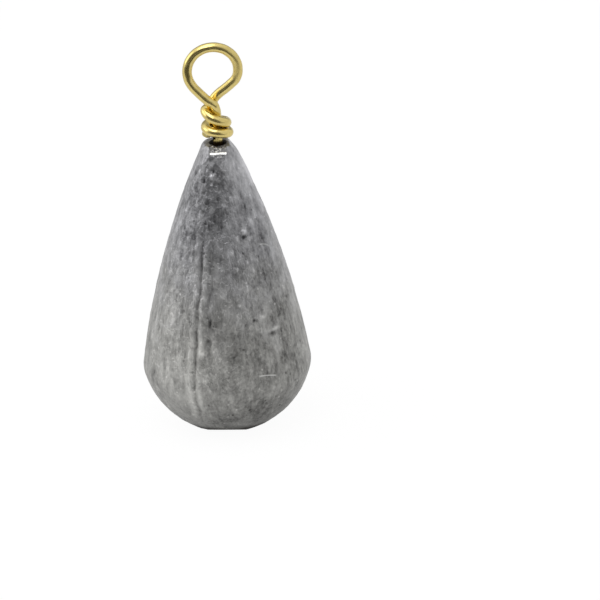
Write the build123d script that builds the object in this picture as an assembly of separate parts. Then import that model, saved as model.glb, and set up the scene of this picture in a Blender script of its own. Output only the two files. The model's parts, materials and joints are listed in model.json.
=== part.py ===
"""Casting sinker: a pear-shaped lead weight poured round one end of a brass barrel swivel.

The wide end stands on the XY plane with its centre at the origin, the axis is +Z, and the line eye is at the top,
in the XZ plane. Sizes are in millimetres.
"""
import math
import os

from build123d import *

# Lead weight
BODY_LENGTH = 33.3  # standing face to neck end
BODY_DIAMETER = 18.9  # across the shoulder, before it is rounded
SHOULDER_HEIGHT = 6.2  # shoulder above the standing face
STANDING_DIAMETER = 8.0  # flat of the trimmed pouring gate
NECK_DIAMETER = 3.4  # small end, before its edge is rounded
SIDE_BULGE = 0.95  # rise of the long side over a straight cone
SHOULDER_ROUNDING = 2.5
NECK_ROUNDING = 0.35

# Brass wire, the same for the line eye and for the anchor inside the lead
WIRE_DIAMETER = 1.05
EYE_INNER_DIAMETER = 4.75
EYE_TURN = 270  # degrees of full circle in the eye, the rest runs down to the stem
EYE_DRIFT = 0.7  # the eye's two sides pass each other by this much, as in a key ring
CROSSING_RISE = 1.6  # lowest point of the eye's circle above the start of the wraps
WRAP_TURNS = 2.25
WRAP_PITCH = 1.5
WRAP_GAP = 0.42  # between the wraps and the stem inside them
WRAP_LIFT = 0.45  # lowest wrap above the neck end, with the eye pushed in
HEAD_DIAMETER = 2.0  # upset head on the stem's end
HEAD_LENGTH = 1.4
HEAD_ROUNDING = 0.3

# Swivel barrel
BARREL_WALL = 0.45  # at its middle
BARREL_END_DIAMETER = 2.5  # closed-in ends
BARREL_END_WALL = 0.6
NECK_LIP = 1.0  # lead over the barrel's upper end
END_PLAY = 0.8  # travel of the eye, in and out

# Fits
NECK_CLEARANCE = 0.3  # stem in the neck's hole, radial
HEAD_CLEARANCE = 0.15  # head in the barrel's chamber, radial
STEM_CLEARANCE = 0.05  # stem in the barrel's end hole, radial
BARREL_CLEARANCE = 0.05  # barrel in its pocket in the lead
HEAD_SEAT_GAP = 0.05  # between the two heads at rest, and under the anchor's head
CAST_GAP = 0.02  # lead round the anchor wire

GAP_SAMPLE = 0.1  # spacing of the points on which the wire's gap to itself is measured
EYE_STEPS = 3  # stretches of the eye, each two arcs
UP = Vector(0, 0, 1)

# Worked out from the sizes above
wire_radius = WIRE_DIAMETER / 2
wrap_radius = WIRE_DIAMETER + WRAP_GAP
eye_radius = (EYE_INNER_DIAMETER + WIRE_DIAMETER) / 2
chamber_radius = HEAD_DIAMETER / 2 + HEAD_CLEARANCE
chamber_length = END_PLAY + 2 * HEAD_LENGTH + 2 * HEAD_SEAT_GAP
barrel_length = chamber_length + 2 * BARREL_END_WALL
barrel_radius = chamber_radius + BARREL_WALL
barrel_middle = BODY_LENGTH - NECK_LIP - barrel_length / 2
chamber_top = barrel_middle + chamber_length / 2
chamber_bottom = barrel_middle - chamber_length / 2

# Heights along a wire, counted from the shoulder of its head, where the stem starts
neck_end = END_PLAY + BARREL_END_WALL + NECK_LIP
cut_end = neck_end + WRAP_LIFT + wire_radius
wrap_start = cut_end + WRAP_TURNS * WRAP_PITCH
eye_centre = wrap_start + CROSSING_RISE + eye_radius


def biarc(start, start_direction, end, end_direction):
    """Two arcs that leave start and reach end in the given directions and meet smoothly between them."""
    chord = end - start
    lean = chord.dot(start_direction + end_direction)
    spread = 2 * (1 - start_direction.dot(end_direction))
    reach = (math.sqrt(lean**2 + spread * chord.dot(chord)) - lean) / spread
    middle = (start + end + (start_direction - end_direction) * reach) / 2
    first = Edge.make_tangent_arc(start, start_direction, middle)
    second = Edge.make_tangent_arc(middle, first % 1, end)
    return [first, second]


def eye_station(step):
    """Point and direction on the eye, which goes up its left side, over the top and down its right side."""
    turn = math.radians(EYE_TURN)
    angle = math.pi / 2 + turn * (0.5 - step / EYE_STEPS)
    drift = EYE_DRIFT * (step / EYE_STEPS - 0.5)
    point = Vector(eye_radius * math.cos(angle), drift, eye_centre + eye_radius * math.sin(angle))
    direction = Vector(eye_radius * math.sin(angle), EYE_DRIFT / turn, -eye_radius * math.cos(angle))
    return point, direction.normalized()


def wrap_station(step, steps):
    """Point and direction on the wraps, which start behind the stem and go down round it."""
    turn = math.radians(360 * WRAP_TURNS)
    drop = wrap_start - cut_end
    angle = math.pi / 2 + turn * step / steps
    height = wrap_start - drop * step / steps
    point = Vector(wrap_radius * math.cos(angle), wrap_radius * math.sin(angle), height)
    direction = Vector(-wrap_radius * math.sin(angle), wrap_radius * math.cos(angle), -drop / turn)
    return point, direction.normalized()


def wire_path():
    """Centre line of a wire: straight stem, eye, then wraps down to the cut end."""
    bend = Vector(0, 0, wrap_start)
    wrap_steps = math.ceil(4 * WRAP_TURNS)
    stations = [(bend, UP)]
    stations += [eye_station(step) for step in range(EYE_STEPS + 1)]
    stations += [wrap_station(step, wrap_steps) for step in range(wrap_steps + 1)]
    edges = [Edge.make_line(Vector(0, 0, -HEAD_LENGTH / 2), bend)]
    for start, end in zip(stations, stations[1:]):
        edges += biarc(*start, *end)
    return Wire(edges)


def least_gap(path):
    """Smallest gap between stretches of the wire that do not follow on from each other."""
    count = round(path.length / GAP_SAMPLE)
    points = [path @ (index / count) for index in range(count + 1)]
    apart = round(math.pi * WIRE_DIAMETER / GAP_SAMPLE)
    distances = [(a - b).length for index, a in enumerate(points) for b in points[index + apart :]]
    return min(distances) - WIRE_DIAMETER


def tube(path, radius):
    """Round bar of the given radius along a wire's centre line."""
    return sweep(Plane(path @ 0, z_dir=UP) * Circle(radius), path=path)


def make_wire(path):
    """A swivel wire: head, stem, eye and wraps in one piece."""
    head = Pos(0, 0, -HEAD_LENGTH / 2) * Cylinder(HEAD_DIAMETER / 2, HEAD_LENGTH)
    head = fillet(head.edges().filter_by(GeomType.CIRCLE), HEAD_ROUNDING)
    return head + tube(path, wire_radius)


def barrel_form(margin):
    """The barrel's outside as a solid, grown by a margin."""
    half = barrel_length / 2 + margin
    end = BARREL_END_DIAMETER / 2 + margin
    side = ThreePointArc((end, -half), (barrel_radius + margin, 0), (end, half))
    ends = [Line((0, -half), (end, -half)), Line((end, half), (0, half))]
    profile = make_face([*ends, side, Line((0, half), (0, -half))])
    return Pos(0, 0, barrel_middle) * revolve(Plane.XZ * profile, Axis.Z)


def make_barrel():
    """Brass barrel with a chamber for both heads and a hole in each end for a stem."""
    chamber = Cylinder(chamber_radius, chamber_length)
    holes = Cylinder(wire_radius + STEM_CLEARANCE, barrel_length)
    return barrel_form(0) - Pos(0, 0, barrel_middle) * (chamber + holes)


def make_body(anchor_path, anchor_place):
    """Lead casting with the barrel's pocket, the stem's hole in the neck and the space the anchor wire fills."""
    standing = (STANDING_DIAMETER / 2, 0)
    shoulder = (BODY_DIAMETER / 2, SHOULDER_HEIGHT)
    neck = (NECK_DIAMETER / 2, BODY_LENGTH)
    dome_centre = (shoulder[0] ** 2 + shoulder[1] ** 2 - standing[0] ** 2) / (2 * shoulder[1])
    dome_radius = math.hypot(standing[0], dome_centre)
    dome = RadiusArc(standing, shoulder, -dome_radius)
    side = SagittaArc(shoulder, neck, -SIDE_BULGE)
    end = Line(neck, (0, BODY_LENGTH))
    profile = make_face([Line((0, 0), standing), dome, side, end, Line((0, BODY_LENGTH), (0, 0))])
    profile = fillet(profile.vertices().sort_by_distance(neck)[0], NECK_ROUNDING)
    profile = fillet(profile.vertices().sort_by_distance(shoulder)[0], SHOULDER_ROUNDING)
    body = revolve(Plane.XZ * profile, Axis.Z)
    neck_hole = Cylinder(wire_radius + NECK_CLEARANCE, BODY_LENGTH - barrel_middle)
    body -= Pos(0, 0, (BODY_LENGTH + barrel_middle) / 2) * neck_hole
    body -= barrel_form(BARREL_CLEARANCE)
    body -= anchor_place * tube(anchor_path, wire_radius + CAST_GAP)
    return body


path = wire_path()
gap = least_gap(path)
wire = make_wire(path)
anchor_place = Pos(0, 0, chamber_bottom + HEAD_SEAT_GAP) * Rot(180, 0, 0)
eye_place = Pos(0, 0, chamber_top - END_PLAY)

parts = {
    "lead_body": make_body(path, anchor_place),
    "swivel_barrel": make_barrel(),
    "anchor_wire": anchor_place * wire,
    "eye_wire": eye_place * wire,
}

os.makedirs("parts", exist_ok=True)
for name, part in parts.items():
    export_step(part, f"parts/{name}.step")
    print(f"{name}: {part.volume:.2f} mm3")

tightest = min(edge.radius for edge in path.edges() if edge.geom_type == GeomType.CIRCLE)
print(f"wire: length {path.length:.2f} mm, least gap to itself {gap:.3f} mm, tightest bend {tightest:.2f} mm")
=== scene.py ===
# %% [markdown]
# A casting sinker: a pear of lead, poured round one end of a small brass swivel. The lead is one
# casting from a two-part mould, and the line eye is one length of brass wire that is wound round its
# own stem. The swivel's barrel and its second wire are inside the lead. They keep their shapes from the
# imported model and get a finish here, while the lead and the eye are modelled again, with the marks of
# the mould and of the pliers.

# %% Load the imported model
import json
import math
import random

import bpy
import numpy as np
from mathutils import Matrix, Vector

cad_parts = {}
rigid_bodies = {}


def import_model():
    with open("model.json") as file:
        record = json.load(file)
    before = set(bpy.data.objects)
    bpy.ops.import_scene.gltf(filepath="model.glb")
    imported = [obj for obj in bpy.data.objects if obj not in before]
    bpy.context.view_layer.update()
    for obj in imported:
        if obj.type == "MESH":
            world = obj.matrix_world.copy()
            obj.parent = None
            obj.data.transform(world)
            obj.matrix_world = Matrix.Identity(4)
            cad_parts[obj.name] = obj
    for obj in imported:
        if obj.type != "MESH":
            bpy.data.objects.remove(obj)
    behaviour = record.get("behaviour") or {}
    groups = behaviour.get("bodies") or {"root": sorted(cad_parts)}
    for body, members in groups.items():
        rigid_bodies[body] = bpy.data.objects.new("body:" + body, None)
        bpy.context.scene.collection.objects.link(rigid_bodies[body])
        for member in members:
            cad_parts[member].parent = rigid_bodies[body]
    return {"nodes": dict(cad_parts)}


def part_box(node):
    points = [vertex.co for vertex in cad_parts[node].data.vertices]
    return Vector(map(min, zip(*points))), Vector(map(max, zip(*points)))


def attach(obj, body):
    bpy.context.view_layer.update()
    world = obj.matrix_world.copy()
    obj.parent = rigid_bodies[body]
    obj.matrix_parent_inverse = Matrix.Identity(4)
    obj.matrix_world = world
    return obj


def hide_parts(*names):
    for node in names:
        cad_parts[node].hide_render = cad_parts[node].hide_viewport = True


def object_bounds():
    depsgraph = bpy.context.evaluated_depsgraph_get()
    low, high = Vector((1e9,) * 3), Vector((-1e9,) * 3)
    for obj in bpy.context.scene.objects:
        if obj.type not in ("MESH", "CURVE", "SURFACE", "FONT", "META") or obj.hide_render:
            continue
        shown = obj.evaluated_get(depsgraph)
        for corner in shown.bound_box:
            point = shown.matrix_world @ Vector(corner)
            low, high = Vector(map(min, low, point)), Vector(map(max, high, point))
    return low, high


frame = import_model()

MM = 0.001
cad_low, cad_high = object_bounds()
neck_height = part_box("lead_body")[1].z / MM
cad_size = [round(size / MM, 2) for size in cad_high - cad_low]
print(f"CAD box {cad_size} mm, neck end at {neck_height:.2f} mm")

# %% [markdown]
# The camera comes first, so that every later step can be compared with the photograph. It looks from
# the front and from 24.5 degrees above the floor, through a long lens, because the outline shows little
# perspective. The sinker's axis leans a little to the left in the picture. A camera that is rolled by
# that angle shows the same, and the sinker itself can stand straight. No lens shift is needed: the
# camera is moved sideways until the middle of the standing face falls on its pixel.

# %% Camera
IMAGE_SIZE = 600  # pixels
PIXEL = 0.1116 * MM  # what one pixel covers on the sinker
ANCHOR_PIXEL = (229.7, 415.0)  # the middle of the standing face
CAMERA_DISTANCE = 1500 * MM
CAMERA_ELEVATION = math.radians(24.5)
CAMERA_ROLL = math.radians(2.36)
NEAREST_SEEN = 10 * MM

toward_camera = Vector((0, -math.cos(CAMERA_ELEVATION), math.sin(CAMERA_ELEVATION)))
level = Vector((1, 0, 0))
upright = toward_camera.cross(level)
image_right = level * math.cos(CAMERA_ROLL) - upright * math.sin(CAMERA_ROLL)
image_up = level * math.sin(CAMERA_ROLL) + upright * math.cos(CAMERA_ROLL)
beside = (ANCHOR_PIXEL[0] - IMAGE_SIZE / 2) * PIXEL
above = (IMAGE_SIZE / 2 - ANCHOR_PIXEL[1]) * PIXEL
camera_place = toward_camera * CAMERA_DISTANCE - image_right * beside - image_up * above
camera_turn = Matrix((image_right, image_up, toward_camera)).transposed()
bpy.ops.object.camera_add(location=camera_place, rotation=camera_turn.to_euler())
camera = bpy.context.object
camera.data.lens = camera.data.sensor_width * CAMERA_DISTANCE / (IMAGE_SIZE * PIXEL)
camera.data.clip_start = NEAREST_SEEN
bpy.context.scene.camera = camera
print(f"camera lens {camera.data.lens:.0f} mm at {CAMERA_DISTANCE:.2f} m")

# %% [markdown]
# The lead is round about its axis, so it starts as its outline: half of a cut through the middle. The
# outline could be a curve, but arcs between a few known points say more plainly what the shape is. Two
# helpers give the points of a stretch: an arc that bulges by a known rise, and a straight run.

# %% Arcs and straight runs


def arc(start, end, rise, steps):
    """Points after start on the arc to end that bulges by rise, to the right of the way there."""
    start = Vector(start)
    chord = Vector(end) - start
    along = chord.normalized()
    outward = Vector((along.y, -along.x))
    half_angle = 2 * math.atan2(2 * rise, chord.length)
    radius = chord.length / 2 / math.sin(half_angle)
    centre = start + chord / 2 - outward * (radius - rise)
    turns = [half_angle * (2 * step / steps - 1) for step in range(1, steps + 1)]
    return [centre + (outward * math.cos(turn) + along * math.sin(turn)) * radius for turn in turns]


def run(start, end, steps):
    """Points after start on the straight way to end."""
    return [Vector(start).lerp(Vector(end), step / steps) for step in range(1, steps + 1)]


print("a test arc from 0 0 to 0 2 has its middle at", arc((0, 0), (0, 2), 0.5, 2)[0])

# %% [markdown]
# The outline goes from the middle of the trimmed flat out to the dome, over a small rounding at the
# shoulder, up the long side, which bulges by less than a millimetre, and over the cut neck. There it
# turns inwards, down the wire's hole and round the pocket of the swivel's barrel. The top rows of the
# side are split, because the cuts at the neck need finer steps.

# %% Outline of the lead
GATE_RADIUS = 4.4  # trimmed flat on which it stands
DOME_END = (9.27, 6.2)
DOME_RISE = 0.82
SHOULDER_END = (9.3, 7.21)
SHOULDER_RISE = 0.052
SIDE_RISE = 0.89
NECK_RADIUS = 1.7
NECK_ROUNDING = 0.2
NECK_FLARE = 0.06  # the side is wider by this below the rounding, which bulges by as much
CRATER_RADIUS = 0.98  # mouth of the wire's hole, drawn in where the lead shrank
CRATER_DEPTH = 0.6
HOLE_RADIUS = 0.83
POCKET_END_RADIUS = 1.3
POCKET_GAP = 0.05  # round the barrel
NECK_ROWS = 12  # top steps of the long side that are split
NECK_SPLIT = 3
# how many steps each stretch has
STEPS = {
    "flat": 14,
    "dome": 36,
    "shoulder": 6,
    "side": 176,
    "rounding": 4,
    "neck": 6,
    "crater": 4,
    "hole": 3,
    "ledge": 1,
    "pocket": 8,
    "pocket floor": 2,
}

barrel_low, barrel_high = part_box("swivel_barrel")
pocket_top = barrel_high.z / MM + POCKET_GAP
pocket_bottom = barrel_low.z / MM - POCKET_GAP
pocket_rise = barrel_high.x / MM + POCKET_GAP - POCKET_END_RADIUS
gate_edge = (GATE_RADIUS, 0)
neck_side = (NECK_RADIUS + NECK_FLARE, neck_height - NECK_ROUNDING)
neck_edge = (NECK_RADIUS - NECK_ROUNDING, neck_height)
crater_edge = (CRATER_RADIUS, neck_height)
hole_top = (HOLE_RADIUS, neck_height - CRATER_DEPTH)
hole_bottom = (HOLE_RADIUS, pocket_top)
pocket_edge = (POCKET_END_RADIUS, pocket_top)
pocket_foot = (POCKET_END_RADIUS, pocket_bottom)

long_side = arc(SHOULDER_END, neck_side, SIDE_RISE, STEPS["side"])
outline = [Vector((0, 0))]
outline += run((0, 0), gate_edge, STEPS["flat"])
outline += arc(gate_edge, DOME_END, DOME_RISE, STEPS["dome"])
outline += arc(DOME_END, SHOULDER_END, SHOULDER_RISE, STEPS["shoulder"])
outline += long_side[:-NECK_ROWS]
for start, end in zip(long_side[-NECK_ROWS - 1 :], long_side[-NECK_ROWS:]):
    outline += run(start, end, NECK_SPLIT)
outline += arc(neck_side, neck_edge, NECK_FLARE, STEPS["rounding"])
outline += run(neck_edge, crater_edge, STEPS["neck"])
outline += run(crater_edge, hole_top, STEPS["crater"])
outline += run(hole_top, hole_bottom, STEPS["hole"])
outline += run(hole_bottom, pocket_edge, STEPS["ledge"])
outline += arc(pocket_edge, pocket_foot, -pocket_rise, STEPS["pocket"])
outline += run(pocket_foot, (0, pocket_bottom), STEPS["pocket floor"])
widest = max(point.x for point in outline)
print(f"outline of the lead: {len(outline)} points, widest {widest:.2f} mm from the axis")

# %% [markdown]
# In Blender the outline is drawn as by hand: a plane is merged to one point, and the point is extruded
# along the outline. Spin then turns the line round the axis. Its first copy lies in the plane where the
# mould's halves met, so that a column of points runs along the parting line, in front and behind. The
# last copy of the line falls on the first one, so doubles are merged before the normals are made to
# point outwards.

# %% Spin the lead
SPIN_STEPS = 320
SEAM_ANGLE = -23.3  # degrees to the right of the front
MERGE_DISTANCE = 0.001 * MM
seam_across = math.sin(math.radians(SEAM_ANGLE))
seam_deep = -math.cos(math.radians(SEAM_ANGLE))


def draw_line(points):
    """A new object with one line of edges through the points. It stays in edit mode, all selected."""
    bpy.ops.object.select_all(action="DESELECT")
    bpy.ops.mesh.primitive_plane_add(size=MM, location=(0, 0, 0))
    bpy.ops.object.mode_set(mode="EDIT")
    bpy.ops.mesh.select_all(action="SELECT")
    bpy.ops.mesh.merge(type="CENTER")
    for start, end in zip(points, points[1:]):
        bpy.ops.mesh.extrude_vertices_move(TRANSFORM_OT_translate={"value": end - start})
    bpy.ops.mesh.select_all(action="SELECT")
    return bpy.context.object


seam_outline = [Vector((point.x * seam_across, point.x * seam_deep, point.y)) * MM for point in outline]
lead = draw_line(seam_outline)
lead.name = "sinker_lead"
bpy.ops.mesh.spin(steps=SPIN_STEPS, angle=math.tau, center=(0, 0, 0), axis=(0, 0, 1))
bpy.ops.mesh.select_all(action="SELECT")
bpy.ops.mesh.remove_doubles(threshold=MERGE_DISTANCE)
bpy.ops.mesh.normals_make_consistent(inside=False)
bpy.ops.object.mode_set(mode="OBJECT")
print(f"lead: {len(lead.data.vertices)} points, {len(lead.data.polygons)} faces")

# %% [markdown]
# The marks of casting come next. They are shallow, under a fifth of a millimetre, but lead is dull and
# shows each of them. They could be left to bump in the material, but then the outline and the exported
# mesh would be smooth. So each mark is a weight on the points, as if painted, and a Displace modifier
# moves the points by that weight along their normals. To paint by numbers, each point's height, angle
# round the axis and distance from the axis are measured first.

# %% Where each point of the lead is
SKIN_START = 0.2  # above the standing face, which has no such marks


def places(piece):
    """The piece's points, in millimetres."""
    flat = np.empty(3 * len(piece.data.vertices))
    piece.data.vertices.foreach_get("co", flat)
    return flat.reshape(-1, 3) / MM


smooth_places = places(lead)
across, deep, height = smooth_places.T
from_axis = np.hypot(across, deep)
angle = np.degrees(np.arctan2(across, -deep))
side = (height > SKIN_START) & (height < neck_height - NECK_ROUNDING) & (from_axis > NECK_RADIUS)


def arc_distance(to_angle):
    """How far each point is round the lead from a line at that angle, in millimetres."""
    turn = (angle - to_angle + 180) % 360 - 180
    return np.radians(turn) * from_axis


print(f"{side.sum()} of {len(side)} points are on the skin of the casting")

# %% [markdown]
# The largest mark is the parting line, on the front and on the back: a groove between two soft ridges.
# It wanders a little, and its upper half leans over. A second line, broken and shallower, runs beside
# it in front.

# %% Parting line
SEAM_SLANT = 0.2  # degrees for each millimetre above its middle
SEAM_MIDDLE = 13.0
SEAM_HEIGHTS = (0.5, 26.0)
SEAM_FADE = 4.5
# waves along the height: swing, radians for each millimetre, and start
SEAM_WANDER = ((0.06, 0.9, 0), (0.05, 2.3, 1))
SEAM_WAVER = (0.1, 1.1, 0)
# bands along the line: how far to its right, half width, and depth or height
SEAM_GROOVE = ((0, 0.16, 0.095),)
SEAM_RIDGES = ((-0.6, 0.34, 0.04), (0.5, 0.28, 0.035))
SECOND_LINE_ANGLE = -12.7
SECOND_LINE_HEIGHTS = (10.5, 21.5)
SECOND_LINE_FADE = 2.5
SECOND_LINE_WAVER = (0.45, 2.1, 2)
SECOND_LINE_WANDER = 0.5  # share of the parting line's
SECOND_LINE_HALF_WIDTH = 0.2
SECOND_LINE_DEPTH = 0.08


def bell(distance, half_width):
    """One at no distance, and nothing from about two half widths on."""
    return np.exp(-((distance / half_width) ** 2))


def between(values, low, high, fade):
    """One between two heights, with soft ends."""
    return np.clip((values - low) / fade, 0, 1) * np.clip((high - values) / fade, 0, 1)


def wave(swing, rate, start):
    """A wave along the height of the lead."""
    return swing * np.sin(rate * height + start)


def along_seam(bands):
    """Soft bands along the parting line, in front and behind."""
    lean = SEAM_SLANT * np.maximum(height - SEAM_MIDDLE, 0)
    total = np.zeros(len(height))
    for seam_angle in (SEAM_ANGLE, SEAM_ANGLE + 180):
        from_seam = arc_distance(seam_angle + lean) + seam_wander
        for aside, half_width, amount in bands:
            total += amount * bell(from_seam - aside, half_width)
    return seam_strength * total


seam_wander = sum(wave(*parts) for parts in SEAM_WANDER)
seam_strength = between(height, *SEAM_HEIGHTS, SEAM_FADE) * (1 - SEAM_WAVER[0] + wave(*SEAM_WAVER))
sunk = along_seam(SEAM_GROOVE)
raised = along_seam(SEAM_RIDGES)
second_line = arc_distance(SECOND_LINE_ANGLE) + SECOND_LINE_WANDER * seam_wander
broken = between(height, *SECOND_LINE_HEIGHTS, SECOND_LINE_FADE)
broken *= 1 - SECOND_LINE_WAVER[0] + wave(*SECOND_LINE_WAVER)
sunk += SECOND_LINE_DEPTH * broken * bell(second_line, SECOND_LINE_HALF_WIDTH)
print(f"parting line: {sunk[side].max():.2f} mm deep between ridges of {raised[side].max():.2f} mm")

# %% [markdown]
# Nicks, pits and small blisters follow. Those that show most have their own place in a list, which is
# the way to match single marks of a photograph.

# %% Nicks and blisters that show
# angle, height, width, length along the side, and depth, or height where it is negative
NICKS = (
    (-12, 14.8, 0.25, 0.8, 0.09),
    (-13, 12.9, 0.3, 0.55, 0.16),
    (-14, 16.9, 0.18, 0.9, 0.07),
    (-18.5, 11.6, 0.3, 0.4, -0.13),
    (-14, 19.1, 0.18, 0.2, 0.09),
    (-39, 7.9, 0.4, 0.3, 0.06),
    (85, 30.0, 1.2, 1.6, -0.12),
    (25, 14.7, 0.3, 0.22, 0.14),
    (32, 14.9, 0.4, 0.22, -0.08),
    (37, 12.8, 0.5, 0.25, 0.12),
    (42, 13.2, 0.6, 0.18, -0.09),
    (38, 27.9, 0.13, 0.25, 0.11),
    (40, 26.8, 0.13, 0.5, 0.08),
    (0.5, 25.5, 0.12, 1.1, 0.07),
    (-21, 25.5, 0.2, 0.22, 0.12),
    (-31, 29.7, 0.15, 0.2, 0.1),
    (-28, 30.9, 0.14, 0.16, -0.08),
    (-16, 29.9, 0.2, 0.16, 0.11),
    (-17, 30.4, 0.15, 0.15, -0.1),
    (-12, 30.9, 0.15, 0.25, 0.1),
    (28, 24.4, 0.35, 0.25, -0.11),
    (27, 23.8, 0.35, 0.2, 0.1),
    (35, 23.6, 0.25, 0.16, -0.08),
    (10, 22.3, 0.18, 0.16, -0.1),
    (14, 20.5, 0.18, 0.18, -0.08),
    (26, 21.1, 0.15, 0.22, -0.08),
    (31, 20.1, 0.15, 0.22, -0.08),
    (13, 16.7, 0.2, 0.16, -0.08),
)


def spot(at_angle, at_height, width, tall):
    """A round or drawn-out spot on the side."""
    return np.exp(-((arc_distance(at_angle) / width) ** 2) - ((height - at_height) / tall) ** 2)


for nick_angle, nick_height, width, tall, depth in NICKS:
    mark = abs(depth) * spot(nick_angle, nick_height, width, tall)
    if depth > 0:
        sunk += mark
    else:
        raised += mark
print(f"{len(NICKS)} nicks and blisters have their own place")

# %% [markdown]
# Hundreds of small ones are scattered by a seeded random draw, so that every run gives the same sinker.
# All marks together then move the points: outwards where metal stands up, inwards where it is missing.

# %% Scattered pits and blisters
PIT_COUNT = 330
BLISTER_COUNT = 240
SCATTER_SEED = 7
SCATTER_WIDTHS = (0.13, 0.28)
SCATTER_STRETCH = (0.7, 1.8)
SCATTER_DEPTHS = (0.015, 0.05)
SCATTER_ANGLES = (-180, 180)
SCATTER_HEIGHTS = (1, 31)
HIGHEST_MARK = 0.16
DEEPEST_MARK = 0.2
LEAST_WEIGHT = 0.002

draw = random.Random(SCATTER_SEED)
for count, marks in ((PIT_COUNT, sunk), (BLISTER_COUNT, raised)):
    for _ in range(count):
        width = draw.uniform(*SCATTER_WIDTHS)
        tall = width * draw.uniform(*SCATTER_STRETCH)
        depth = draw.uniform(*SCATTER_DEPTHS)
        marks += depth * spot(draw.uniform(*SCATTER_ANGLES), draw.uniform(*SCATTER_HEIGHTS), width, tall)


def displace_by_weight(piece, name, weights, strength):
    """Moves the points along their normals by strength millimetres times their weight."""
    group = piece.vertex_groups.new(name=name)
    for index in np.flatnonzero(weights > LEAST_WEIGHT):
        group.add([int(index)], float(min(1, weights[index])), "REPLACE")
    bpy.context.view_layer.objects.active = piece
    modifier = piece.modifiers.new(name, "DISPLACE")
    modifier.vertex_group = name
    modifier.mid_level = 0
    modifier.strength = strength * MM
    bpy.ops.object.modifier_apply(modifier=name)
    piece.vertex_groups.clear()


displace_by_weight(lead, "raised", raised * side / HIGHEST_MARK, HIGHEST_MARK)
displace_by_weight(lead, "sunk", sunk * side / DEEPEST_MARK, -DEEPEST_MARK)
print(f"{PIT_COUNT + BLISTER_COUNT} pits and blisters are scattered, and all marks are in the mesh")

# %% [markdown]
# A hand-poured surface is nowhere quite even. Layers of cloudy noise push it in and out: broad waves
# where the metal shrank, long streaks where it slid out of the mould, and a fine crust. The streaks are
# the same noise, measured with an empty that is stretched along the axis.

# %% Waves, streaks and crust of the casting


def roughen(piece, name, chosen, grain, stretch, depth, detail):
    """Displaces the chosen points by cloudy noise of that grain, drawn out along the axis."""
    bpy.ops.object.empty_add(location=(0, 0, 0))
    ruler = bpy.context.object
    ruler.scale = Vector((grain, grain, grain * stretch)) * MM
    texture = bpy.data.textures.new(name, "CLOUDS")
    texture.noise_scale = 1
    texture.noise_depth = detail
    group = piece.vertex_groups.new(name=name)
    group.add([int(index) for index in np.flatnonzero(chosen)], 1, "REPLACE")
    bpy.ops.object.select_all(action="DESELECT")
    piece.select_set(True)
    bpy.context.view_layer.objects.active = piece
    modifier = piece.modifiers.new(name, "DISPLACE")
    modifier.texture = texture
    modifier.texture_coords = "OBJECT"
    modifier.texture_coords_object = ruler
    modifier.vertex_group = name
    modifier.mid_level = 0.5
    modifier.strength = depth * MM
    bpy.context.view_layer.update()
    bpy.ops.object.modifier_apply(modifier=name)
    piece.vertex_groups.clear()
    bpy.data.objects.remove(ruler)
    bpy.data.textures.remove(texture)


roughen(lead, "waves", side, grain=4.0, stretch=1.3, depth=0.1, detail=1)
roughen(lead, "streaks", side, grain=1.1, stretch=4, depth=0.04, detail=2)
roughen(lead, "crust", side, grain=0.6, stretch=1.3, depth=0.055, detail=1)
moved = np.linalg.norm(places(lead) - smooth_places, axis=1)
print(f"lead now departs from its outline by up to {moved.max():.2f} mm")

# %% [markdown]
# Both ends were trimmed by hand, and each cut is flat. A boolean would leave a torn rim on such a fine
# mesh. It is simpler to choose the points beyond a plane and to scale them to nothing along its normal,
# which presses them onto the plane.

# %% Choose points and press them flat


def choose(piece, rule):
    """Edit mode, with the points selected whose place in millimetres the rule says yes to."""
    bpy.ops.object.select_all(action="DESELECT")
    piece.select_set(True)
    bpy.context.view_layer.objects.active = piece
    bpy.ops.object.mode_set(mode="EDIT")
    bpy.ops.mesh.select_mode(type="VERT")
    bpy.ops.mesh.select_all(action="DESELECT")
    bpy.ops.object.mode_set(mode="OBJECT")
    chosen = [bool(rule(point.co / MM)) for point in piece.data.vertices]
    piece.data.vertices.foreach_set("select", chosen)
    bpy.ops.object.mode_set(mode="EDIT")
    return np.array(chosen)


def press_flat(start, normal):
    """Presses the selected points onto the plane through start."""
    sideways = normal.orthogonal().normalized()
    axes = (sideways, normal.cross(sideways), normal)
    bpy.ops.transform.resize(
        value=(1, 1, 0),
        orient_type="GLOBAL",
        orient_matrix=axes,
        orient_matrix_type="GLOBAL",
        constraint_axis=(False, False, True),
        center_override=start * MM,
    )


def cut_flat(rule, start, normal):
    """Presses what the rule chooses on the lead onto a plane, and tells which points those are."""
    chosen = choose(lead, rule)
    press_flat(start, normal)
    bpy.ops.object.mode_set(mode="OBJECT")
    off_plane = (places(lead)[chosen] - start) @ np.array(normal)
    print(f"cut {chosen.sum()} points flat within {np.abs(off_plane).max():.4f} mm")
    return chosen


def beyond(place, start, normal):
    """True for a place in front of the plane through start."""
    return (place - start).dot(normal) > 0


print(f"the cuts choose from {len(lead.data.vertices)} points")
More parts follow.
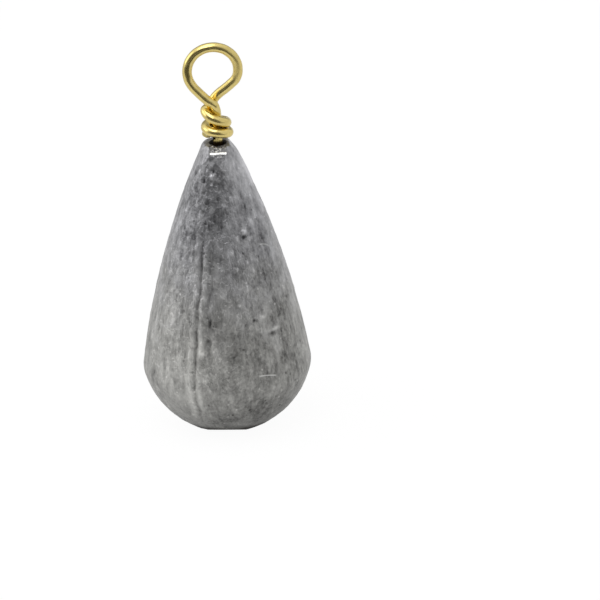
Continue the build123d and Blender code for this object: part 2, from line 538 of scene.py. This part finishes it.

# %% [markdown]
# Below, a file took the edge off the front of the standing face. At the neck the cutter took a slanted
# bite in front and pushed up a burr, whose bright glint is painted in the finish, and the right corner
# is pared off. Smoothing takes the razor edge off the pared corner.

# %% Cuts at the base and the neck
FILED_START = Vector((0, -3.85, 0))
FILED_NORMAL = Vector((-0.037, -0.415, -0.91)).normalized()
FILED_REACH = 2  # above the floor
BITE_START = Vector((0, -1.0, neck_height - 0.1))
BITE_NORMAL = Vector((0, -0.62, 0.78)).normalized()
BITE_HALF_WIDTH = 0.93
BITE_FRONT = -0.5
BURR_HEIGHTS = (neck_height - 0.73, neck_height - 0.55)
BURR_FRONT = -1.2
BURR_PUSH = Vector((0, -0.06, 0.04))
PARED_START = Vector((1.24, 0, neck_height))
PARED_NORMAL = Vector((0.77, 0.1, 0.64)).normalized()
PARED_REACH = 3  # below the neck end
LEAD_CREASE = math.radians(40)


def in_filed_front(place):
    """True for what was filed off the front of the standing face."""
    return place.z < FILED_REACH and beyond(place, FILED_START, FILED_NORMAL)


def in_bite(place):
    """True for what the cutter took away in front."""
    in_front = place.y < BITE_FRONT and abs(place.x) < BITE_HALF_WIDTH
    return in_front and beyond(place, BITE_START, BITE_NORMAL)


def on_burr(place):
    """True along the lower edge of the bite."""
    in_front = place.y < BURR_FRONT and abs(place.x) < BITE_HALF_WIDTH
    return in_front and BURR_HEIGHTS[0] < place.z < BURR_HEIGHTS[1]


def in_pared_corner(place):
    """True for what was pared off on the right."""
    return place.z > neck_height - PARED_REACH and beyond(place, PARED_START, PARED_NORMAL)


cut_flat(in_filed_front, FILED_START, FILED_NORMAL)
bitten = cut_flat(in_bite, BITE_START, BITE_NORMAL)
burr = choose(lead, on_burr)
bpy.ops.transform.translate(value=BURR_PUSH * MM)
bpy.ops.object.mode_set(mode="OBJECT")
pared = cut_flat(in_pared_corner, PARED_START, PARED_NORMAL)
bpy.ops.object.mode_set(mode="EDIT")
bpy.ops.mesh.select_more()
bpy.ops.mesh.select_more()
bpy.ops.mesh.vertices_smooth(factor=0.5, repeat=4)
bpy.ops.object.mode_set(mode="OBJECT")
bpy.ops.object.shade_smooth_by_angle(angle=LEAD_CREASE)
print(f"neck: {bitten.sum()} points bitten off, {burr.sum()} on the burr, {pared.sum()} pared off")

# %% [markdown]
# The finish has to know where the casting is high or hollow, for a painted highlight on raised marks and
# painted shade in hollows, where it was cut bright, with a painted glint on the burr, and where shade is
# painted near black: in the mouth of the hole and round the edge of the standing face, higher in front.
# Noise alone can't know that, so each is kept as one number per point, like a painted mask, and the
# material reads it by its name.

# %% Masks of relief, cuts and painted shade
# painted highlight on raised marks and painted shade in hollows, for each millimetre of height and depth
RAISED_PAINTED_LIGHT = 5.5  # lighter by this for each millimetre of height
HOLLOW_PAINTED_SHADE = 2.8
# freshly cut metal, with a painted glint in flecks on the bite and full on the burr
BITE_FRESH_GLINT = 0.45
BURR_GLINT = 1.0
# painted shade, near black, in the mouth of the hole and round the edge of the standing face, reaching
# higher in front
MOUTH_FADE = 0.2
RIM_SHADE = 0.8
RIM_HEIGHT = 0.9
RIM_FRONT_RISE = 0.75
RIM_FRONT_WIDTH = 60  # degrees
RIM_FADE = 0.7
RIM_INSIDE = 3.0  # from here outwards the painted shade comes in over a millimetre


def keep_mask(piece, name, values):
    """Stores one number per point under a name."""
    mask = piece.data.attributes.new(name, "FLOAT", "POINT")
    mask.data.foreach_set("value", values.astype(np.float32))


# fresh cuts and the painted glint on the burr
fresh_and_glint = np.maximum(BITE_FRESH_GLINT * bitten, BURR_GLINT * burr)
# painted shade in the mouth of the hole and round the standing edge
mouth_shade = np.clip((CRATER_RADIUS - from_axis) / MOUTH_FADE + 0.5, 0, 1) * (height > pocket_top)
rim_top = RIM_HEIGHT + RIM_FRONT_RISE * bell(angle, RIM_FRONT_WIDTH)
below_rim_top = np.clip((rim_top - height) / RIM_FADE, 0, 1)
rim_shade = RIM_SHADE * below_rim_top * np.clip(from_axis - RIM_INSIDE, 0, 1)
painted_shade = np.maximum(mouth_shade, rim_shade)
# the relief mask holds a painted highlight on raised marks and painted shade in hollows
keep_mask(lead, "relief", (RAISED_PAINTED_LIGHT * raised - HOLLOW_PAINTED_SHADE * sunk) * side)
keep_mask(lead, "fresh_and_glint", fresh_and_glint)
keep_mask(lead, "painted_shade", painted_shade)
print(f"masks: {np.count_nonzero(fresh_and_glint)} fresh and {np.count_nonzero(painted_shade)} shaded points")

# %% [markdown]
# Broad areas of the lead are lighter or darker than the rest. They are partly tone that differs at
# random and partly painted light and shade, with painted shadow low in front and low on the right. They
# are soft spots at chosen places, together with painted highlights beside the parting line and on the
# pared corner, and painted shade in the bite.

# %% Mask of broad tones and painted light and shade
# painted shade in the bite, painted highlights on the pared corner and beside the parting line
BITE_SHADE = -0.3
PARED_PAINTED_LIGHT = 0.35
PARED_FADE = 0.25
SEAM_PAINTED_LIGHT = ((-0.55, 0.3, 0.08), (0.5, 0.28, 0.08))
# random tone together with painted light and shade; the dark spots low in front and low on the right are
# painted shadow
# angle, height, half width, half height and how much lighter, or darker where it is negative
TONES_AND_PAINTED_LIGHT = (
    (-38, 23, 2.6, 4.5, -0.2),
    (-36, 25.2, 2, 2.6, -0.16),
    (-10, 21.5, 1.8, 3, 0.1),
    (0, 17, 3, 5, 0.1),
    (-42, 30, 1.6, 2.5, -0.2),
    (0, 25, 2.0, 6, -0.06),
    (0, 30.5, 1.2, 2, -0.05),
    (48, 23.5, 2.2, 4, -0.2),
    (52, 17, 2.2, 4, -0.14),
    (78, 22, 2.5, 9, 0.12),
    (-30, 14.5, 1.5, 2.5, -0.08),
    (15, 14, 1.5, 3, -0.1),
    (-34, 7.5, 2.8, 5, 0.18),
    (-5, 11, 3, 4, 0.08),
    (44, 8, 3.5, 5.5, -0.16),
    (3, 3, 6, 2.8, -0.2),
    (5, 7.5, 4, 3, -0.07),
    (-52, 15, 1.6, 3, 0.12),
    (-42, 32, 0.9, 1.3, 0.1),
)

pared_away = (smooth_places - np.array(PARED_START)) @ np.array(PARED_NORMAL)
# the broad mask: random tone, painted highlights and painted shade
broad = BITE_SHADE * bitten + PARED_PAINTED_LIGHT * pared * np.clip(pared_away / PARED_FADE, 0, 1)
broad += along_seam(SEAM_PAINTED_LIGHT)
for tone_angle, tone_height, width, tall, lighter in TONES_AND_PAINTED_LIGHT:
    broad += lighter * spot(tone_angle, tone_height, width, tall)
keep_mask(lead, "broad", broad)
print(f"broad areas are up to {broad.max():.2f} lighter and {-broad.min():.2f} darker")

# %% [markdown]
# The wire starts as a head that is hidden in the swivel's barrel. Its stem comes straight up out of the
# neck, leans forward and to the left as it becomes the loop, goes over the top and down the right side.
# A curve with a round bevel is the natural way to make wire. The strands follow given points, and the
# loop's points come from a circle whose two sides pass each other in depth.

# %% Stem and loop of the wire
WIRE_RADIUS = 0.545
# height above the wire's lower end, and radius
HEAD = ((0, 0.7), (0.12, 0.95), (0.3, 1.0), (1.0, 1.0), (1.15, 0.95), (1.25, 0.7), (1.28, WIRE_RADIUS))
STEM = ((0, 0, 33), (0, 0, 35), (0.02, 0, 36), (-0.03, -0.12, 36.85))
FRONT_STRAND = (
    (-0.08, -0.32, 37.42),
    (-0.33, -0.45, 38.08),
    (-0.96, -0.48, 38.6),
    (-1.45, -0.45, 39.09),
    (-1.9, -0.42, 39.58),
)
LOOP_CENTRE = Vector((-0.24, 0, 41.95))
LOOP_RADIUS = 2.8
LOOP_START = 216  # degrees, on the left side near the crossing
LOOP_END = -24
LOOP_STEPS = 10
LOOP_DRIFT = 0.38  # half of how far the two sides pass each other in depth


def loop_point(step):
    """Point on the loop, from its left side over the top to its right side."""
    turn = math.radians(LOOP_START + (LOOP_END - LOOP_START) * step / LOOP_STEPS)
    depth = LOOP_DRIFT * (2 * step / LOOP_STEPS - 1)
    return LOOP_CENTRE + Vector((LOOP_RADIUS * math.cos(turn), depth, LOOP_RADIUS * math.sin(turn)))


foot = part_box("eye_wire")[0].z / MM
path = [(Vector((0, 0, foot + up)), radius) for up, radius in HEAD]
path += [(Vector(place), WIRE_RADIUS) for place in STEM + FRONT_STRAND]
path += [(loop_point(step), WIRE_RADIUS) for step in range(LOOP_STEPS + 1)]
print(f"wire from its head over the loop: {len(path)} points")

# %% [markdown]
# On the right the wire comes down, passes behind itself and is then wound down round the stem for two
# turns. The wraps' points come from a turning angle, and their height and radius change unevenly,
# because the pliers pulled more on some turns than on others.

# %% Wraps of the wire
REAR_STRAND = (
    (1.62, 0.45, 40.02),
    (1.07, 0.5, 39.53),
    (0.42, 0.58, 39.0),
    (-0.17, 0.64, 38.35),
    (-0.66, 0.62, 37.4),
    (-1.08, 0.36, 37.25),
)
# height and distance from the axis, quarter by quarter: left, front, right, back and so on
WRAPS = (
    (37.22, 1.23),
    (36.4, 1.11),
    (35.68, 1.08),
    (35.4, 1.15),
    (35.23, 1.25),
    (34.97, 1.25),
    (34.5, 1.25),
    (34.35, 1.2),
    (34.2, 1.22),
)
WRAP_START = 180  # degrees, on the left
WRAP_STEPS = 3  # in each quarter


def wrap_points():
    """Points on the wraps, from the left side down round the stem."""
    stations = [Vector(WRAPS[0])]
    for start, end in zip(WRAPS, WRAPS[1:]):
        stations += run(start, end, WRAP_STEPS)
    points = []
    for step, (tall, reach) in enumerate(stations):
        turn = math.radians(WRAP_START + 90 * step / WRAP_STEPS)
        points.append(Vector((reach * math.cos(turn), reach * math.sin(turn), tall)))
    return points


path += [(Vector(place), WIRE_RADIUS) for place in REAR_STRAND]
path += [(place, WIRE_RADIUS) for place in wrap_points()]
print(f"wire path: {len(path)} points")

# %% [markdown]
# The path becomes a curve with smooth handles and a round bevel, and then a mesh. The thickness of the
# head comes from the radius of its knots. The curve's caps are loose, so doubles are merged.

# %% Bend the wire
KNOT_STEPS = 10  # from one knot to the next
ROUNDNESS = 6  # resolution of the bevel, which gives 16 sides

bpy.ops.object.select_all(action="DESELECT")
bpy.ops.curve.primitive_bezier_curve_add(location=(0, 0, 0))
wire = bpy.context.object
wire.name = "line_eye"
bend = wire.data.splines[0]
bend.bezier_points.add(len(path) - len(bend.bezier_points))
for knot, (place, radius) in zip(bend.bezier_points, path):
    knot.co = place * MM
    knot.radius = radius / WIRE_RADIUS
    knot.handle_left_type = "AUTO"
    knot.handle_right_type = "AUTO"
wire.data.dimensions = "3D"
wire.data.resolution_u = KNOT_STEPS
wire.data.bevel_depth = WIRE_RADIUS * MM
wire.data.bevel_resolution = ROUNDNESS
wire.data.use_fill_caps = True
bpy.ops.object.convert(target="MESH")
bpy.ops.object.mode_set(mode="EDIT")
bpy.ops.mesh.select_all(action="SELECT")
bpy.ops.mesh.remove_doubles(threshold=MERGE_DISTANCE)
bpy.ops.mesh.normals_make_consistent(inside=False)
bpy.ops.object.mode_set(mode="OBJECT")
print(f"wire: {len(wire.data.vertices)} points")

# %% [markdown]
# The free end was nipped off with cutters, which leaves a slanted face. Bisect cuts it, only through
# the points of the wire's last stretch, because the plane would also meet the other turns. The pliers
# left the wire faintly uneven, which shows in the line of its highlights.

# %% Nip the wire's end
END_STATIONS = 4  # stations of the path in the stretch that is cut
CUT_BACK = 0.2
CUT_NORMAL = Vector((-0.3, -0.8, -0.5)).normalized()
PLIERS_FROM = 1  # above the neck end
WIRE_CREASE = math.radians(50)


def in_end_stretch(place):
    """True for points that are nearest to one of the path's last stations."""
    distances = [(station - place).length for station, _ in path]
    return distances.index(min(distances)) >= len(path) - END_STATIONS


end_place = path[-1][0]
end_way = (end_place - path[-2][0]).normalized()
choose(wire, in_end_stretch)
cut_place = (end_place - CUT_BACK * end_way) * MM
bpy.ops.mesh.bisect(plane_co=cut_place, plane_no=CUT_NORMAL, use_fill=True, clear_outer=True)
bpy.ops.object.mode_set(mode="OBJECT")
handled = places(wire)[:, 2] > neck_height + PLIERS_FROM
roughen(wire, "pliers", handled, grain=1.2, stretch=1, depth=0.02, detail=1)
bpy.ops.object.shade_smooth_by_angle(angle=WIRE_CREASE)
print(f"wire after its end was cut: {len(wire.data.vertices)} points")

# %% [markdown]
# Finishes are built from shader nodes. Node maths is easier to read as plain arithmetic, so a small
# class wraps a socket, and its operators add the Math nodes.

# %% A socket to calculate with


class Value:
    """A number that changes over a surface. Arithmetic on it adds Math nodes."""

    def __init__(self, board, socket):
        self.board = board
        self.socket = socket

    def combine(self, operation, first, second):
        return self.board.node("ShaderNodeMath", {"operation": operation}, {0: first, 1: second})

    def __add__(self, other):
        return self.combine("ADD", self, other)

    def __sub__(self, other):
        return self.combine("SUBTRACT", self, other)

    def __rsub__(self, other):
        return self.combine("SUBTRACT", other, self)

    def __mul__(self, other):
        return self.combine("MULTIPLY", self, other)

    __radd__ = __add__
    __rmul__ = __mul__


print("a socket can be added to, subtracted and multiplied")

# %% [markdown]
# One method adds every other node: it takes the node's type, its settings and what goes into its
# sockets. The board's other methods are short names for the nodes that these finishes use most.

# %% A board for nodes
NOISE_MIDDLE = 0.5  # of what the noise node gives


class Board:
    """A node tree that is being wired up."""

    def __init__(self, tree):
        self.tree = tree
        tree.nodes.clear()

    def node(self, kind, settings, inputs, output=0):
        """Adds a node, sets it up, fills its sockets and gives one of its outputs."""
        made = self.tree.nodes.new(kind)
        for name, value in settings.items():
            setattr(made, name, value)
        for name, value in inputs.items():
            if isinstance(value, Value):
                self.tree.links.new(value.socket, made.inputs[name])
            else:
                made.inputs[name].default_value = value
        return Value(self, made.outputs[output]) if made.outputs else made

    def place(self, stretch=1):
        """Object coordinates in millimetres, drawn out along the axis."""
        coordinates = self.node("ShaderNodeTexCoord", {}, {}, "Object")
        scale = (1 / MM, 1 / MM, 1 / MM / stretch)
        return self.node("ShaderNodeMapping", {}, {"Vector": coordinates, "Scale": scale})

    def part(self, place, axis):
        """One coordinate of a place."""
        return self.node("ShaderNodeSeparateXYZ", {}, {"Vector": place}, axis)

    def mask(self, name):
        """A mask that is kept on the points."""
        return self.node("ShaderNodeAttribute", {"attribute_name": name}, {}, "Fac")

    def noise(self, place, grain, detail=2.0, roughness=0.5):
        """Cloudy noise around nothing, from about -0.5 to 0.5, with a grain in millimetres."""
        inputs = {"Vector": place, "Scale": 1 / grain, "Detail": detail, "Roughness": roughness}
        return self.node("ShaderNodeTexNoise", {}, inputs) - NOISE_MIDDLE

    def rise(self, value, low, high, start=0.0, end=1.0):
        """Goes smoothly from start to end as value goes from low to high."""
        inputs = {"Value": value, "From Min": low, "From Max": high, "To Min": start, "To Max": end}
        return self.node("ShaderNodeMapRange", {"interpolation_type": "SMOOTHSTEP"}, inputs)

    def fall(self, value, low, high):
        """Goes smoothly from one to nothing as value goes from low to high."""
        return self.rise(value, low, high, 1.0, 0.0)

    def mix(self, share, first, second):
        """Blend of two colours."""
        return self.node("ShaderNodeMix", {"data_type": "RGBA"}, {0: share, 6: first, 7: second}, 2)


def new_finish(name):
    """A material with an empty board."""
    material = bpy.data.materials.new(name)
    material.use_nodes = True
    return material, Board(material.node_tree)


def close_finish(board, shader_inputs, bumps):
    """Ends a board in a shader whose surface has bumps of that height in millimetres."""
    bump = board.node("ShaderNodeBump", {}, {"Strength": 1.0, "Distance": MM, "Height": bumps})
    shader = board.node("ShaderNodeBsdfPrincipled", {}, {**shader_inputs, "Normal": bump})
    board.node("ShaderNodeOutputMaterial", {}, {"Surface": shader})


print("boards for finishes are ready")

# %% [markdown]
# Three patterns of the lead need more than one node. Curls are the thin lines along which cloudy noise
# passes its middle. Spots lie round the points of a Voronoi pattern. A scratch is a line across the
# front, worked out from its two ends.

# %% Curls, spots and scratches
SPOT_CORE = 0.4  # share of a spot that is full
SCRATCH_HALF_WIDTH = 0.1
SCRATCH_FADE = 0.3  # at each end
FRONT_FADE = 0.5  # so far before and behind the middle of the lead, to keep scratches off its back


def curls(board, place, grain, width):
    """Thin winding lines."""
    offset = board.noise(place, grain, detail=1.0)
    return board.fall(offset * offset, 0.0, width * width)


def spots(board, place, spacing, size):
    """Round spots at random places, one on a spot and nothing between."""
    inputs = {"Vector": place, "Scale": 1 / spacing}
    distance = board.node("ShaderNodeTexVoronoi", {}, inputs, "Distance")
    return board.fall(distance, SPOT_CORE * size / spacing, size / spacing)


def scratch(board, place, start, end, arch):
    """A thin line on the front from start to end, each across and up, arched upwards between them."""
    across, deep, tall = (board.part(place, axis) for axis in "XYZ")
    slope = (end[1] - start[1]) / (end[0] - start[0])
    from_middle = across - (start[0] + end[0]) / 2
    line_height = (start[1] + end[1]) / 2 + slope * from_middle - arch * from_middle * from_middle
    offset = tall - line_height
    line = board.fall(offset * offset, 0.0, SCRATCH_HALF_WIDTH**2)
    left_end = board.rise(across, start[0], start[0] + SCRATCH_FADE)
    right_end = board.fall(across, end[0] - SCRATCH_FADE, end[0])
    return line * left_end * right_end * board.fall(deep, -FRONT_FADE, FRONT_FADE)


print(f"scratches are {2 * SCRATCH_HALF_WIDTH} mm wide")

# %% [markdown]
# Lead leaves the mould bright and turns dull grey within days. What is left is a soft sheen that differs
# from place to place. From coarse to fine there are broad areas, which carry painted light and shade as
# well as tone, cloudy patches, short drag streaks along the axis, mottle, thin curls where the skin of
# the metal folded, grain, small light specks and dark pits. Hollows get painted shade and ridges a
# painted highlight. Each layer is one pattern, and tables say how much it adds to the tone, to the
# dullness and to the bumps.

# %% Layers of the lead
TONE_MIDDLE = 0.47
TONE_SHARES = {"grain": 0.5, "mottle": 0.5, "patches": 0.55, "specks": 0.3, "pits": -0.22}
STREAK_HEIGHTS = (3.0, 10.0)  # the streaks are weaker below
STREAK_SHARES = (0.25, 0.7)
CURL_SHARE = 0.5  # curls make the mottle stronger by this share
CURL_LIGHT = 0.08  # and lie a little on its light side


def lead_layers(board, place):
    """The patterns on the lead, from coarse to fine."""
    return {
        "patches": board.noise(place, grain=2.6, detail=3.0, roughness=0.55),
        "streaks": board.noise(board.place(stretch=6), grain=0.8, detail=3.0, roughness=0.6),
        "mottle": board.noise(board.place(stretch=1.8), grain=0.75, detail=3.0, roughness=0.6),
        "curls": curls(board, board.place(stretch=1.4), grain=0.75, width=0.04),
        "grain": board.noise(board.place(stretch=1.5), grain=0.28, detail=2.0, roughness=0.55),
        "specks": spots(board, place, spacing=1.1, size=0.17),
        "pits": spots(board, board.place(stretch=1.3), spacing=1.3, size=0.18),
    }


def add_up(layers, shares, start):
    """The layers added up, each times its share."""
    return sum((share * layers[name] for name, share in shares.items()), start)


def lead_tone(board, layers, tall):
    """How light the lead is, from nothing to one."""
    streaks = board.rise(tall, *STREAK_HEIGHTS, *STREAK_SHARES) * layers["streaks"]
    folds = CURL_SHARE * layers["curls"] * (layers["mottle"] + CURL_LIGHT)
    tone = add_up(layers, TONE_SHARES, TONE_MIDDLE)
    # the broad and relief masks add painted light and shade to the tone
    return tone + streaks + folds + board.mask("broad") + board.mask("relief")


print(f"the lead's tone has {len(TONE_SHARES) + 2} layers and 2 masks")

# %% [markdown]
# The tone runs from a dark to a light grey, which is a little warmer towards the wide end. The cut faces
# at the neck are still bright in places, with a painted glint on the burr, two scratches catch the light
# on the right, and painted shade darkens the mouth of the hole and the edge of the standing face. Where
# shade is painted, the surface is no longer metal and is duller, so that it stays dark.

# %% Cast lead
DULLNESS = 0.4
DULL_SHARES = {"mottle": 0.3, "patches": 0.2}
# extra dullness where shade is painted
PAINTED_SHADE_DULLNESS = 0.5
METAL_SHARE = 0.8
BUMPS = {"grain": 0.05, "mottle": 0.1, "streaks": 0.06, "curls": 0.012, "specks": 0.012, "pits": -0.02}
DARK_COOL = (0.05, 0.05, 0.053, 1)
LIGHT_COOL = (0.75, 0.75, 0.775, 1)
DARK_WARM = (0.052, 0.051, 0.048, 1)
LIGHT_WARM = (0.75, 0.745, 0.715, 1)
COOL_HEIGHTS = (10.0, 26.0)
COOL_WANDER = 14  # millimetres by which the patches shift those heights
# freshly cut lead, painted near white for the glint on the burr
FRESH_LEAD_AND_GLINT = (0.95, 0.95, 0.93, 1)
FRESH_GRAIN = 0.6
FRESH_RANGE = (0.46, 0.62)
SCRATCHED_LEAD = (0.92, 0.92, 0.9, 1)
# start, end, arch and strength
SCRATCHES = (((3.4, 8.6), (5.5, 8.15), 0.12, 0.55), ((4.0, 22.7), (5.3, 21.9), 0.5, 0.275))
# near-black colour of the painted shade in the mouth of the hole and round the standing edge
PAINTED_SHADE_COLOUR = (0.02, 0.014, 0.01, 1)


def cast_lead():
    """Dull cast lead with its layers, bright cuts with a painted glint, scratches and painted shade."""
    material, board = new_finish("cast_lead")
    place = board.place()
    tall = board.part(place, "Z")
    layers = lead_layers(board, place)
    tone = lead_tone(board, layers, tall)
    cool = board.mix(tone, DARK_COOL, LIGHT_COOL)
    warm = board.mix(tone, DARK_WARM, LIGHT_WARM)
    colour = board.mix(board.rise(tall + COOL_WANDER * layers["patches"], *COOL_HEIGHTS), warm, cool)
    # fresh cuts, and the painted glint on the burr
    bright = board.rise(FRESH_GRAIN * layers["grain"] + board.mask("fresh_and_glint"), *FRESH_RANGE)
    colour = board.mix(bright, colour, FRESH_LEAD_AND_GLINT)
    for start, end, arch, strength in SCRATCHES:
        colour = board.mix(strength * scratch(board, place, start, end, arch), colour, SCRATCHED_LEAD)
    # painted shade: near-black colour, no metal and more dullness
    painted_shade = board.mask("painted_shade")
    colour = board.mix(painted_shade, colour, PAINTED_SHADE_COLOUR)
    dullness = add_up(layers, DULL_SHARES, DULLNESS) + PAINTED_SHADE_DULLNESS * painted_shade
    metal = METAL_SHARE * (1 - painted_shade)
    close_finish(
        board,
        {"Base Color": colour, "Roughness": dullness, "Metallic": metal},
        add_up(layers, BUMPS, 0.0),
    )
    return material


lead.data.materials.append(cast_lead())
print("cast lead is on", lead.name)

# %% [markdown]
# The wire is bright drawn brass. Drawing leaves it smooth, and bending and handling add faint dull
# spots. Where the stem goes into the lead it is painted dark as shade, and the loop's right side is
# duller, where the pliers held it. The barrel and the wire inside the lead are the same brass, browned
# by the hot metal.

# %% Brass
BRASS = (0.89, 0.72, 0.27)
BROWNED_BRASS = (0.45, 0.33, 0.13)
# painted shade on the stem where it goes into the lead
STEM_SHADE_COLOUR = (0.05, 0.03, 0.012, 1)
CLOUD_SHADE = 0.86  # brightness of the dull spots
CLOUD_RANGE = (-0.2, 0.2)
STEM_REACH = 0.65  # from the axis
STEM_FADE = 0.05  # in square millimetres
STEM_SHADE_HEIGHT = 33.6
STEM_SHADE_FADE = 0.15
STEM_SHADE_WANDER = 0.3
RUBBED_ACROSS = (1.4, 2.6)  # to the right of the axis
RUBBED_HEIGHTS = (39.5, 40.5)
CLOUD_DULLNESS = 0.06
STEM_SHADE_DULLNESS = 0.4
RUBBED_DULLNESS = 0.15
BRASS_BUMPS = 0.003


def drawn_brass(name, colour, dullness):
    """Brass wire with faint changes of colour and gloss, and painted shade on its stem below a wavy
    line.
    """
    material, board = new_finish(name)
    place = board.place()
    across, deep, tall = (board.part(place, axis) for axis in "XYZ")
    clouds = board.noise(place, grain=0.9, detail=3.0, roughness=0.6)
    darker = tuple(CLOUD_SHADE * part for part in colour)
    shade = board.mix(board.rise(clouds, *CLOUD_RANGE), (*darker, 1), (*colour, 1))
    # painted shade on the stem, below a wavy line
    on_stem = board.fall(across * across + deep * deep, STEM_REACH**2, STEM_REACH**2 + STEM_FADE)
    stem_shade_line = tall + STEM_SHADE_WANDER * clouds
    stem_shade = on_stem * board.fall(stem_shade_line, STEM_SHADE_HEIGHT - STEM_SHADE_FADE, STEM_SHADE_HEIGHT + STEM_SHADE_FADE)
    shade = board.mix(stem_shade, shade, STEM_SHADE_COLOUR)
    rubbed = board.rise(across, *RUBBED_ACROSS) * board.rise(tall, *RUBBED_HEIGHTS)
    dullness = dullness + CLOUD_DULLNESS * clouds + STEM_SHADE_DULLNESS * stem_shade + RUBBED_DULLNESS * rubbed
    close_finish(
        board,
        {"Base Color": shade, "Roughness": dullness, "Metallic": 1.0},
        BRASS_BUMPS * clouds,
    )
    return material


def dress(piece, material):
    """Gives a piece one material."""
    piece.data.materials.clear()
    piece.data.materials.append(material)


dress(wire, drawn_brass("bright_brass_wire", BRASS, dullness=0.21))
dress(frame["nodes"]["anchor_wire"], drawn_brass("browned_brass_wire", BROWNED_BRASS, dullness=0.4))
dress(frame["nodes"]["swivel_barrel"], drawn_brass("browned_brass_barrel", BROWNED_BRASS, dullness=0.35))
print("brass is on the wires and the barrel")

# %% [markdown]
# The sinker stands on a white sheet. The camera sees the sheet as white paper with a weak shadow. The
# metal mirrors more of that shadow, and the lamps light the sheet as plain pale paint.

# %% Floor
FLOOR_SIZE = 8  # metres
FLOOR_DROP = 0.02 * MM
SHADOW_SHARE = 0.08  # of the full shadow, as the camera sees it
PAPER_GLOW = 1.04
MIRRORED_SHARE = 0.3
PALE_PAINT = (0.62, 0.62, 0.62, 1)
WHITE = (1, 1, 1, 1)

bpy.ops.object.select_all(action="DESELECT")
bpy.ops.mesh.primitive_plane_add(size=FLOOR_SIZE, location=(0, 0, -FLOOR_DROP))
floor = bpy.context.object
floor.name = "floor"
paper, board = new_finish("white_sheet")
seen = board.node("ShaderNodeLightPath", {}, {}, "Is Camera Ray")
mirrored = board.node("ShaderNodeLightPath", {}, {}, "Is Glossy Ray")
through = board.node("ShaderNodeLightPath", {}, {}, "Is Transmission Ray")
paint = board.node("ShaderNodeBsdfDiffuse", {}, {"Color": PALE_PAINT})
glow = board.node("ShaderNodeEmission", {}, {"Color": WHITE, "Strength": PAPER_GLOW})
share = (1 - SHADOW_SHARE) * seen + MIRRORED_SHARE * (mirrored + through)
surface = board.node("ShaderNodeMixShader", {}, {0: share, 1: paint, 2: glow})
board.node("ShaderNodeOutputMaterial", {}, {"Surface": surface})
floor.data.materials.append(paper)
print("floor is", FLOOR_SIZE, "m wide")

# %% [markdown]
# Bright wire needs something dark to mirror, or it looks like plastic. A photographer lays a dark card
# in front of it, just outside the picture, and the wire gets its dark stripe. The card here is hidden
# from the camera and throws no shadow, so that only the metal sees it.

# %% Dark card in front
CARD_ASIDE = -120 * MM
CARD_START = 75 * MM  # in front of the axis
CARD_SIZE = (700 * MM, 600 * MM)
CARD_COLOUR = (0.08, 0.08, 0.075, 1)

card_place = (CARD_ASIDE, -CARD_START - CARD_SIZE[1] / 2, FLOOR_DROP)
bpy.ops.mesh.primitive_plane_add(size=1, location=card_place)
card = bpy.context.object
card.name = "dark_card"
card.scale = (*CARD_SIZE, 1)
card.visible_camera = False
card.visible_diffuse = False
card.visible_shadow = False
card_finish, board = new_finish("dark_card")
matt = board.node("ShaderNodeBsdfDiffuse", {}, {"Color": CARD_COLOUR})
board.node("ShaderNodeOutputMaterial", {}, {"Surface": matt})
card.data.materials.append(card_finish)
print("dark card lies", CARD_START / MM, "mm in front")

# %% [markdown]
# The light is a white tent: bright from above and from the left, a little darker on the right, darker
# behind, and darkest in front, round the camera. That dark side gives the wire its stripe and the lead
# its dark middle between two lighter edges. The camera itself sees the tent as white.

# %% Tent
TENT_LEVEL = 0.95
# darker sides: the way there, where the side begins and where it is full, and its level
DARKER_SIDES = {
    "right": ((1, -0.2, 0), 0.1, 0.9, 0.7),
    "rear": ((0, 1, 0.1), 0.6, 0.95, 0.3),
    "front": ((-0.25, -1, 0), 0.4, 0.85, 0.1),
}

world = bpy.data.worlds.new("tent")
bpy.context.scene.world = world
world.use_nodes = True
board = Board(world.node_tree)
direction = board.node("ShaderNodeTexCoord", {}, {}, "Generated")


def facing(way):
    """How much a direction in the tent points that way, from -1 to 1."""
    inputs = {0: direction, 1: Vector(way).normalized()}
    return board.node("ShaderNodeVectorMath", {"operation": "DOT_PRODUCT"}, inputs, "Value")


light = TENT_LEVEL
for way, begins, full, side_level in DARKER_SIDES.values():
    light = light - (light - side_level) * board.rise(facing(way), begins, full)
seen = board.node("ShaderNodeLightPath", {}, {}, "Is Camera Ray")
strength = light + (1 - light) * seen
background = board.node("ShaderNodeBackground", {}, {"Color": WHITE, "Strength": strength})
board.node("ShaderNodeOutputWorld", {}, {"Surface": background})
print("tent is darker on these sides:", ", ".join(DARKER_SIDES))

# %% [markdown]
# Soft lamps on the left, above and in front of the top add gentle highlights. All of them point at the
# middle of the sinker. The Standard view then shows the colours as they were chosen.

# %% Lamps
# name, place and size in metres, and power in watts
LAMPS = (
    ("left_lamp", (-0.45, 0.0, 0.2), (0.3, 0.3), 0.26),
    ("top_lamp", (-0.1, -0.1, 0.5), (0.35, 0.35), 0.6),
    ("front_lamp", (-0.1, -0.3, 0.4), (0.3, 0.15), 0.25),
)

for name, place, (lamp_width, lamp_height), power in LAMPS:
    aim = (cad_low + cad_high) / 2 - Vector(place)
    lamp_turn = aim.to_track_quat("-Z", "Y").to_euler()
    bpy.ops.object.light_add(type="AREA", location=place, rotation=lamp_turn)
    lamp = bpy.context.object
    lamp.name = name
    lamp.data.shape = "RECTANGLE"
    lamp.data.size = lamp_width
    lamp.data.size_y = lamp_height
    lamp.data.energy = power
bpy.context.scene.view_settings.view_transform = "Standard"
print(f"{len(LAMPS)} lamps are set")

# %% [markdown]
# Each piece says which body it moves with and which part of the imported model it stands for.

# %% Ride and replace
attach(lead, "weight")
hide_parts("lead_body")
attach(wire, "eye")
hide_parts("eye_wire")
